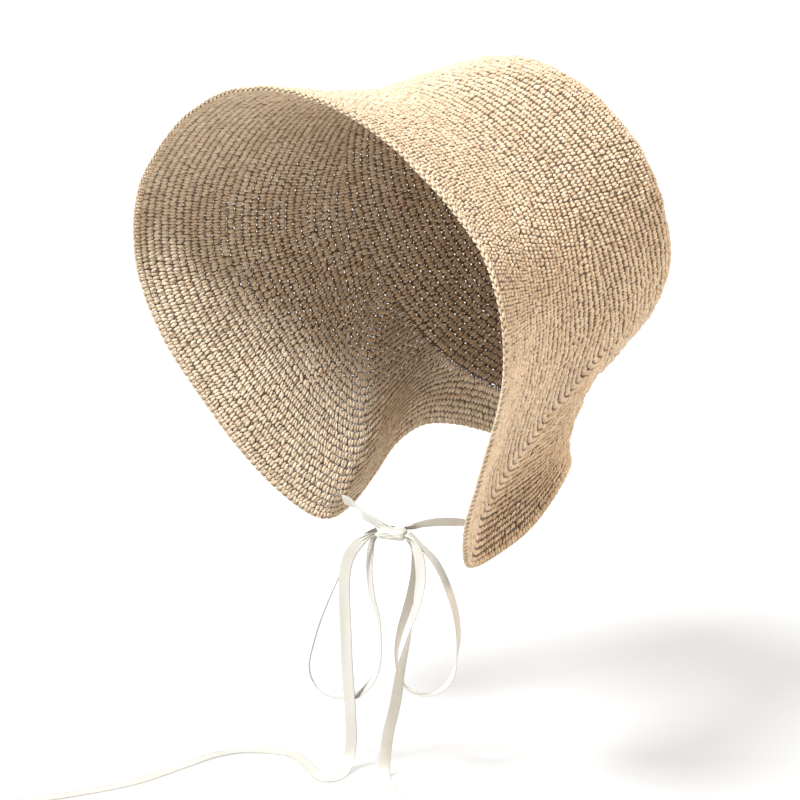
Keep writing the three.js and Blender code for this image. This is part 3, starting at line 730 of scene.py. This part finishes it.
deepest = brim_sheet.length.max()
distances = [BORDER]
while distances[-1] < deepest:
    distances.append(distances[-1] + EDGE_ROUND + (ROUND - EDGE_ROUND) * (distances[-1] / deepest))
brim_rounds = rounds(brim_sheet, [brim_line(distance) for distance in distances])
crown_count = round(crown_sheet.length.mean() / ROUND)
crown_rounds = rounds(crown_sheet, [crown_line(n / crown_count) for n in range(crown_count + 1)])
print("rounds:", len(brim_rounds), "in the brim and", len(crown_rounds), "in the crown")

# %% [markdown]
# ## One stitch
# A real stitch is one strand looped through the round before. Thousands of such loops would be too
# many faces, so a stitch is a small pattern of points laid down on every cell of the rounds: a thin
# ground painted dark as shade, with a hole where the hook went in, and on each face two plump
# strands that part a little towards the brim's edge. Outside they stop short of the next round,
# which leaves a line of that painted shade between the rounds, and inside they all but meet. Near
# the free edge the work is tight and the holes close. Every strand strays a little, and the whole
# wall waves.


# %% Stitch pattern
HEAD = 0.19
FOOT = 0.28
HOLE_AT = (0, 0.06)
STRAND_RINGS = 3


def strand(start, end, radius, thickness, sides):
    """A plump strand from start to end, both (u, w) in cells, with a half-round section. At the share
    t of its length it is radius (0.3 + 0.7 sin pi t) wide each way and thickness sin(pi t)^(1/2)
    high. Returns points (u, w, height in mm), triangles and the place across and along it."""
    start, end = np.array(start, float), np.array(end, float)
    ahead = (end - start) * [STITCH, ROUND]
    length = np.linalg.norm(ahead)
    across = np.array([-ahead[1], ahead[0]]) / length / [STITCH, ROUND]
    t = ((np.arange(STRAND_RINGS) + 0.5) / STRAND_RINGS)[:, None]
    arc = np.linspace(math.pi, 0, sides)
    bulge = np.sin(math.pi * t)
    side = np.cos(arc) * radius * (0.3 + 0.7 * bulge)
    high = np.sin(arc) * thickness * bulge**0.5
    u, w = np.moveaxis(start + (end - start) * t[..., None] + across * side[..., None], 2, 0)
    points = np.vstack([(*start, 0), np.stack([u, w, high], -1).reshape(-1, 3), (*end, 0)])
    uv = np.stack(np.broadcast_arrays(side, t * length), -1).reshape(-1, 2)
    grid = 1 + np.arange(STRAND_RINGS * sides).reshape(STRAND_RINGS, sides)
    low, after = grid[:-1], grid[1:]
    triangles = [
        (0 * grid[0, :-1], grid[0, :-1], grid[0, 1:]),
        (low[:, :-1], after[:, :-1], low[:, 1:]),
        (low[:, 1:], after[:, :-1], after[:, 1:]),
        (grid[-1, :-1], 0 * grid[-1, 1:] + len(points) - 1, grid[-1, 1:]),
    ]
    faces = np.concatenate([np.stack(corners, -1).reshape(-1, 3) for corners in triangles])
    return points, faces, np.vstack([(0, 0), uv, (0, length)])


def ground(centre, half_width, half_height):
    """The thin middle of the wall between the cell's corners, with a diamond-shaped hole: eight
    triangles, from each side of the cell to the hole's rim."""
    corners = [(-0.5, 0), (0.5, 0), (0.5, 1), (-0.5, 1)]
    u, w = centre
    rim = [(u, w - half_height), (u + half_width, w), (u, w + half_height), (u - half_width, w)]
    points = np.array([(*p, 0) for p in corners + rim], float)
    faces = []
    for k in range(4):
        after = (k + 1) % 4
        faces += [(k, after, 4 + k), (after, 4 + after, 4 + k)]
    return points, np.array(faces), points[:, :2] * [STITCH, ROUND]


# %% Open and closed stitch
def stitch_parts(hole_size, outside, inside):
    """The ground and four strands. Each face is (radius, height, gap, sides): its two strands have that
    radius, and stop that share of a round short of the rounds beside them."""
    strands = []
    for radius, height, gap, sides in (outside, inside):
        for side in (1, -1):
            head = (0.5 - side * HEAD, gap)
            foot = (0.5 - side * FOOT, 1 - gap)
            strands.append(strand(head, foot, radius, height, sides))
    return [ground(HOLE_AT, *hole_size)] + strands


def joined(parts):
    """All the points of a stitch in one array."""
    return np.concatenate([points for points, _, _ in parts])


OPEN = stitch_parts((0.19, 0.13), (1.32, 1.5, 0.06, 5), (1.4, -1.35, 0.01, 4))
CLOSED = stitch_parts((0.05, 0.05), (1.1, 1.45, 0.07, 5), (1.42, -1.25, -0.04, 4))
OPEN_SHAPE = joined(OPEN)
CLOSED_SHAPE = joined(CLOSED)
SHAPE_UV = np.concatenate([uv for _, _, uv in OPEN])
SHAPE_PART = np.repeat(np.arange(len(OPEN)), [len(points) for points, _, _ in OPEN])
FIRST_POINT = np.cumsum([0] + [len(points) for points, _, _ in OPEN])
SHAPE_FACES = np.concatenate([faces + first for (_, faces, _), first in zip(OPEN, FIRST_POINT)])
# painted shade through crest: the stitch ground is painted nearly fully dark and each strand darker
# towards its low sides
LOWEST_CREST = 0.22
GROUND_CREST = (0.1, 0.1, 0.1, 0.1, 0, 0, 0, 0)
CREST = np.clip(abs(OPEN_SHAPE[:, 2]) / (WALL / 2), LOWEST_CREST, 1)
CREST[: len(GROUND_CREST)] = GROUND_CREST
print("one stitch has", len(OPEN_SHAPE), "points and", len(SHAPE_FACES), "triangles")


# %% Laying the stitches
LOOSE = 0.8
STEADY = 12
TIGHT_UNTIL = 12
OPEN_FROM = 75
SMALLEST = 0.06
STRAY = 0.05
SWELL = 4
TWIST = 0.12
STRAND_TONE = 0.6
UV_SPREAD = 40


def wobble(angle, distance, from_joint):
    """How far the hand-worked wall stands off its smooth form: four sine waves round and along it,
    about LOOSE mm high together, that die out within STEADY mm of where crown and brim meet."""
    a = np.radians(angle)
    waves = 0.5 * np.sin(3 * a + distance / 9) + 0.4 * np.sin(7 * a - distance / 6 + 1)
    waves = waves + 0.35 * np.sin(16 * a + distance / 4 + 2) + 0.3 * np.sin(29 * a - distance / 2.7)
    return LOOSE / 1.5 * waves * np.clip(from_joint / STEADY, 0, 1)


def stitches(group):
    """Points, faces, UVs, tones and crests of all the stitches of some rounds of one sheet. A point
    (u, w, h) of the pattern lies at the share u between the stitch's sides and the share w between
    its round's far and near lines, and stands h off the middle of the wall along the normal."""
    all_points, all_tones, all_crests = [], [], []
    for each in group:
        sides = np.append(each.sides, each.sides[0] + 360)
        left, right = sides[:-1, None], sides[1:, None]
        count = len(left)
        stray = rng.normal(0, STRAY, (4, count, len(OPEN)))
        stray[:, :, 0] = 0
        aside, along, swell, twist = stray[:, :, SHAPE_PART]
        inward = (each.far(sides[:-1]) - TIGHT_UNTIL) / (OPEN_FROM - TIGHT_UNTIL)
        opened = np.clip(inward, 0, 1) if each.sheet is brim_sheet else np.ones(count)
        hole = np.where(SHAPE_PART == 0, rng.random((count, 1)), 1)
        opened = (opened[:, None] * hole)[:, :, None]
        u, w, h = np.moveaxis(CLOSED_SHAPE + opened * (OPEN_SHAPE - CLOSED_SHAPE), 2, 0)
        u = u + aside + twist * TWIST / STRAY * (w - 0.5)
        angle = left + u * (right - left)
        near, far = each.near(angle), each.far(angle)
        keep = (far - near).max(1) > SMALLEST * ROUND
        distance = far + (w + along) * (near - far)
        points, normals = each.sheet.at(angle, distance)
        length = each.sheet.lengths(angle)
        from_joint = length - distance if each.sheet is brim_sheet else distance
        height = h * np.clip((far - near) / ROUND, 0.3, 1.1) * (1 + SWELL * swell) - WALL / 2
        height = height + wobble(angle, distance, from_joint)
        all_points.append((points + normals * height[..., None])[keep])
        stitch_tones = (1 - STRAND_TONE) * rng.random((count, 1))
        strand_tones = STRAND_TONE * rng.random((count, len(OPEN)))[:, SHAPE_PART]
        all_tones.append((stitch_tones + strand_tones)[keep])
        all_crests.append(np.broadcast_to(CREST, u.shape)[keep])
    points = np.concatenate(all_points)
    offsets = np.arange(len(points))[:, None, None] * len(OPEN_SHAPE)
    faces = (SHAPE_FACES + offsets).reshape(-1, 3)
    uvs = SHAPE_UV + rng.uniform(0, UV_SPREAD, (len(points), 1, 2))
    return points, faces, uvs, np.concatenate(all_tones), np.concatenate(all_crests)


# %% Straw pieces
def straw_pieces(name, all_rounds, node, parts):
    """The rounds shared out to pieces of about the same number of stitches."""
    total = sum(len(r.sides) for r in all_rounds)
    shares = np.cumsum([len(r.sides) for r in all_rounds]) / total * parts
    for part in range(parts):
        group = [r for r, s in zip(all_rounds, shares) if part < s <= part + 1 + 1e-9]
        points, faces, uvs, tones, crests = stitches(group)
        attributes = {"tone": tones, "crest": crests}
        piece = mesh_object(f"{name}_{part + 1}", points, [faces], RAFFIA, attributes, uvs)
        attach(piece, "root")
        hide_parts(node)
        print(piece.name, len(points), "stitches", len(faces), "triangles")


straw_pieces("brim_straw", brim_rounds, "brim", 4)
straw_pieces("crown_straw", crown_rounds, "crown", 3)

# %% [markdown]
# ## Edge
# The last round is a row of short posts with a chain along the free edge, whose links overlap like a
# plait. A plain beading would look cast, so every post and link is a small grain of straw of its
# own, set out along the edge, and here and there the end of a fibre sticks out.

# %% Edge
LINK_SIDES = 6
LINK_RINGS = 5
FRAYED = 0.25
FIBRE_REACH = 1.8
FIBRE_RADIUS = 0.14
POST_RADIUS = 1.05
POST_LIFT = 0.45
POST_HEAD = 0.16
POST_FOOT = 0.28
LINK_RADIUS = 0.8
EDGE_TONE = 0.9
UV_REPEAT = 4
SLANT = np.array([0.3, 0.2, 0.93])


def grain(start, end, radius):
    """Points of closed grains of straw from start to end, which are arrays of places. At the share t
    of its length a grain is a ring of radius (0.25 + 0.75 sin(pi t)^0.6) times the given one."""
    ahead = unit(end - start)
    side = unit(np.cross(ahead, SLANT))[:, None, None]
    other = np.cross(ahead, side[:, 0, 0])[:, None, None]
    t = np.linspace(0, 1, LINK_RINGS)[:, None, None]
    a = np.linspace(0, 2 * math.pi, LINK_SIDES, endpoint=False)[:, None]
    plump = radius * (0.25 + 0.75 * np.sin(math.pi * t) ** 0.6)
    middle = start[:, None, None] + (end - start)[:, None, None] * t
    rings = middle + (side * np.cos(a) + other * np.sin(a)) * plump
    return rings.reshape(len(start), -1, 3)


# %% Edge in place
def edge_pieces():
    """Four posts, two links and now and then a fibre for each stitch of the free edge."""
    angles, run = run_length(brim_sheet, lambda a: 0 * a)
    count = round(run[-1] / STITCH)
    place = np.linspace(0, run[-1], count, endpoint=False)
    step = run[-1] / count

    def at(along, distance, height):
        """Places that far along in stitches, and that many mm from the edge and from mid-wall."""
        angle = np.interp(np.mod(place + along * step, run[-1]), run, angles)
        points, normals = brim_sheet.at(angle, 0 * angle + distance)
        loose = wobble(angle, distance, brim_sheet.lengths(angle))[:, None]
        return points + normals * (height - WALL / 2 + loose)

    posts = [
        grain(
            at(0.5 - side * POST_HEAD, BORDER + 1, lift),
            at(0.5 - side * POST_FOOT, 1, lift * 1.6),
            POST_RADIUS,
        )
        for side in (1, -1)
        for lift in (POST_LIFT, -POST_LIFT)
    ]
    chain = [
        grain(at(0, 1.8, 1), at(0.95, 0.5, 0.2), LINK_RADIUS),
        grain(at(0.5, 1.8, -1), at(1.45, 0.5, -0.2), LINK_RADIUS),
    ]
    chosen = rng.random(count) < FRAYED
    root = at(0.5, 0.8, 0)[chosen]
    loose_end = root + rng.normal(0, 1, root.shape) * FIBRE_REACH
    lowest, highest = np.array(cad_box) / METRES
    loose_end = np.clip(loose_end, lowest, highest)
    points = np.concatenate(posts + chain + [grain(root, loose_end, FIBRE_RADIUS)])
    # painted shade through crest: each grain of the edge is darker towards its tucked-in ends
    plump = np.sin(np.linspace(0, math.pi, LINK_RINGS)).repeat(LINK_SIDES)
    crests = np.broadcast_to(0.2 + 0.8 * plump, points.shape[:2])
    total = len(points)
    offsets = np.arange(total)[:, None, None] * points.shape[1]
    faces = [(f + offsets).reshape(-1, f.shape[1]) for f in tube_faces(LINK_RINGS, LINK_SIDES)]
    tones = np.broadcast_to(rng.random((total, 1)) * EDGE_TONE, points.shape[:2])
    lengthwise = np.linspace(0, UV_REPEAT, LINK_RINGS)
    crosswise = np.linspace(0, 1, LINK_SIDES, endpoint=False) * UV_REPEAT
    uv = np.stack(np.meshgrid(lengthwise, crosswise, indexing="ij")[::-1], -1).reshape(-1, 2)
    uvs = np.broadcast_to(uv, (total, *uv.shape)) + rng.uniform(0, UV_SPREAD, (total, 1, 2))
    attributes = {"tone": tones, "crest": crests}
    piece = mesh_object("brim_edge_chain", points, faces, RAFFIA_EDGE, attributes, uvs)
    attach(piece, "root")
    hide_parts("brim_edge")


edge_pieces()

# %% [markdown]
# ## Light
# A softbox high up, in front and to the left lights the top of the hat and reaches in under the brim.
# A warm, weaker light high on the picture's right rakes over the side and draws out the stitches.
# Area lamps close by would fall off over the hat, so both are far lamps of some width. The table is
# a mid grey that glows, so that it looks white and the hat's shadow on it stays faint.

# %% Light
SOFTBOX_FROM = (-0.12, -0.52, 0.85)
SIDE_FROM = (0.66, 0.42, 0.62)
COOL = (0.9, 1, 1.08)
WARM = (1, 0.86, 0.7)


def soft_light(name, come_from, strength, spread, colour):
    """A lamp so far away that it falls evenly, spread over that many degrees of the sky."""
    data = bpy.data.lights.new(name, "SUN")
    data.energy = strength
    data.angle = math.radians(spread)
    data.color = colour
    lamp = bpy.data.objects.new(name, data)
    lamp.rotation_euler = Vector(come_from).to_track_quat("Z", "Y").to_euler()
    bpy.context.collection.objects.link(lamp)
    print(name, "of strength", strength, "and", spread, "degrees wide")


soft_light("softbox", SOFTBOX_FROM, 5.7, 18, COOL)
soft_light("side light", SIDE_FROM, 2, 12, WARM)

# %% Table and room
TABLE_COLOUR = (0.26, 0.25, 0.24)
TABLE_GLOW = 0.62
TABLE_GAP = 0.05
ROOM_COLOUR = (1, 0.98, 0.95)
ROOM_STRENGTH = 0.28

table_material = Material("table", Roughness=0.9, Emission_Color=(1, 1, 1), Emission_Strength=TABLE_GLOW)
table_material.colour(TABLE_COLOUR)
reach = TABLE_REACH / METRES
height = TABLE_HEIGHT / METRES - TABLE_GAP
corners = [(x * reach, y * reach, height) for x, y in ((-1, -1), (1, -1), (1, 1), (-1, 1))]
table = mesh_object("table", corners, [np.array([[0, 1, 2, 3]])], table_material.made)

world = bpy.data.worlds.new("room")
bpy.context.scene.world = world
world.use_nodes = True
background = world.node_tree.nodes["Background"]
background.inputs["Color"].default_value = (*ROOM_COLOUR, 1)
background.inputs["Strength"].default_value = ROOM_STRENGTH
bpy.context.scene.view_settings.view_transform = "Standard"
